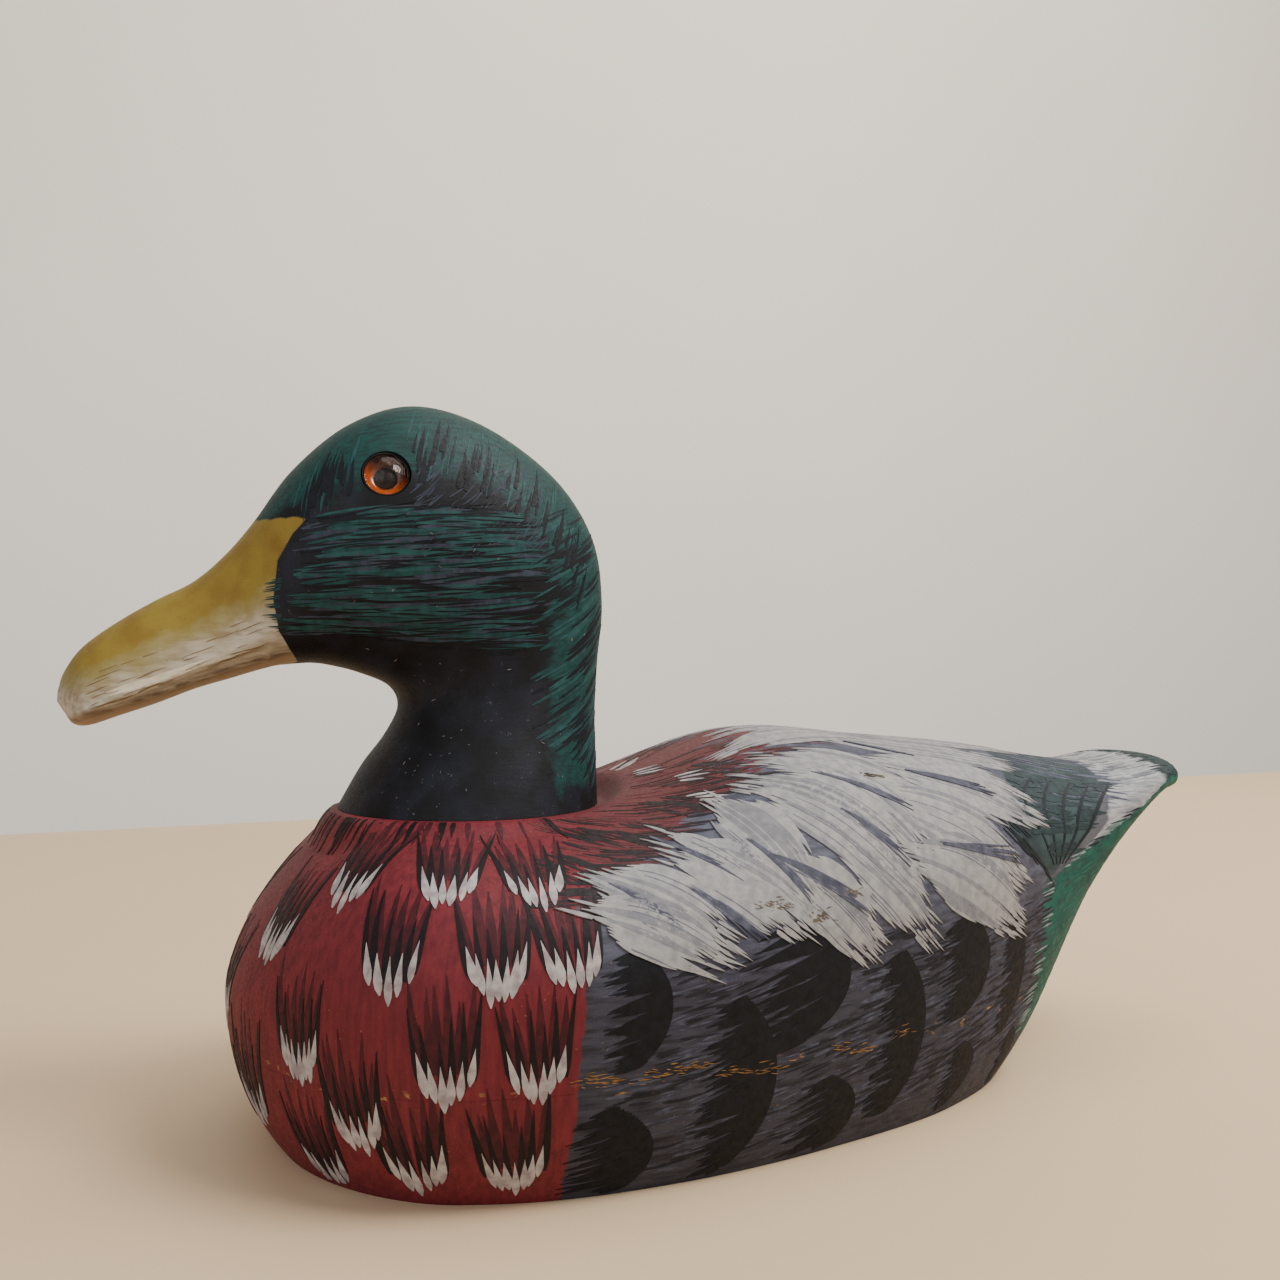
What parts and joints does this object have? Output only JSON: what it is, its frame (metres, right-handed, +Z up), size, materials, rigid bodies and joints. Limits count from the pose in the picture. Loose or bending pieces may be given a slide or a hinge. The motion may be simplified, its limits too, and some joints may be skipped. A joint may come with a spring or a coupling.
{
  "type": "floating duck decoy",
  "caption": "Hollow wooden duck decoy with a painted body, a head that turns on a dowel, glass eyes, flush ballast and a folding line ring.",
  "frame": {"origin": "on the surface that the decoy stands on, under the middle of its overall length and width", "axes": "+Z up, -Y the way the duck faces, +X its left side"},
  "size_m": [0.138, 0.3128, 0.1752],
  "materials": {
    "body_paint": "matte brushed paint on wood, worn along the seam",
    "bottom_paint": "matte brushed paint on wood, bare wood under the base",
    "head_paint": "satin brushed paint on wood with an ochre and off-white bill",
    "bare_wood": "unpainted dowel",
    "ballast": "dull grey cast metal",
    "steel": "plain steel",
    "brass": "tarnished",
    "eye_glass": "polished clear dome",
    "amber": "amber enamel behind the glass",
    "pupil": "black enamel behind the glass",
    "putty": "dark matte bedding putty"
  },
  "bodies": {
    "body": {"body_upper": "body_paint", "body_lower": "bottom_paint", "seam_dowel_front": "bare_wood", "seam_dowel_rear": "bare_wood", "seam_dowel_left": "bare_wood", "seam_dowel_right": "bare_wood", "ballast_weight": "ballast", "ballast_screw_front": "steel", "ballast_screw_rear": "steel", "line_screw_eye": "brass"},
    "head": {"head": "head_paint", "neck_dowel": "bare_wood", "eye_glass_left": "eye_glass", "eye_iris_left": "amber", "eye_pupil_left": "pupil", "eye_wire_left": "steel", "eye_putty_left": "putty", "eye_glass_right": "eye_glass", "eye_iris_right": "amber", "eye_pupil_right": "pupil", "eye_wire_right": "steel", "eye_putty_right": "putty"},
    "ring": {"line_ring": "brass"}
  },
  "joints": [
    {"name": "head_turn", "type": "hinge", "parent": "body", "child": "head", "pos_m": [0, -0.0621, 0.0773], "axis": [0, 0, 1], "range_deg": [-90, 90]},
    {"name": "ring_swing", "type": "hinge", "parent": "body", "child": "ring", "pos_m": [0, -0.0881, 0.0043], "axis": [-1, 0, 0], "range_deg": [0, 100]}
  ]
}
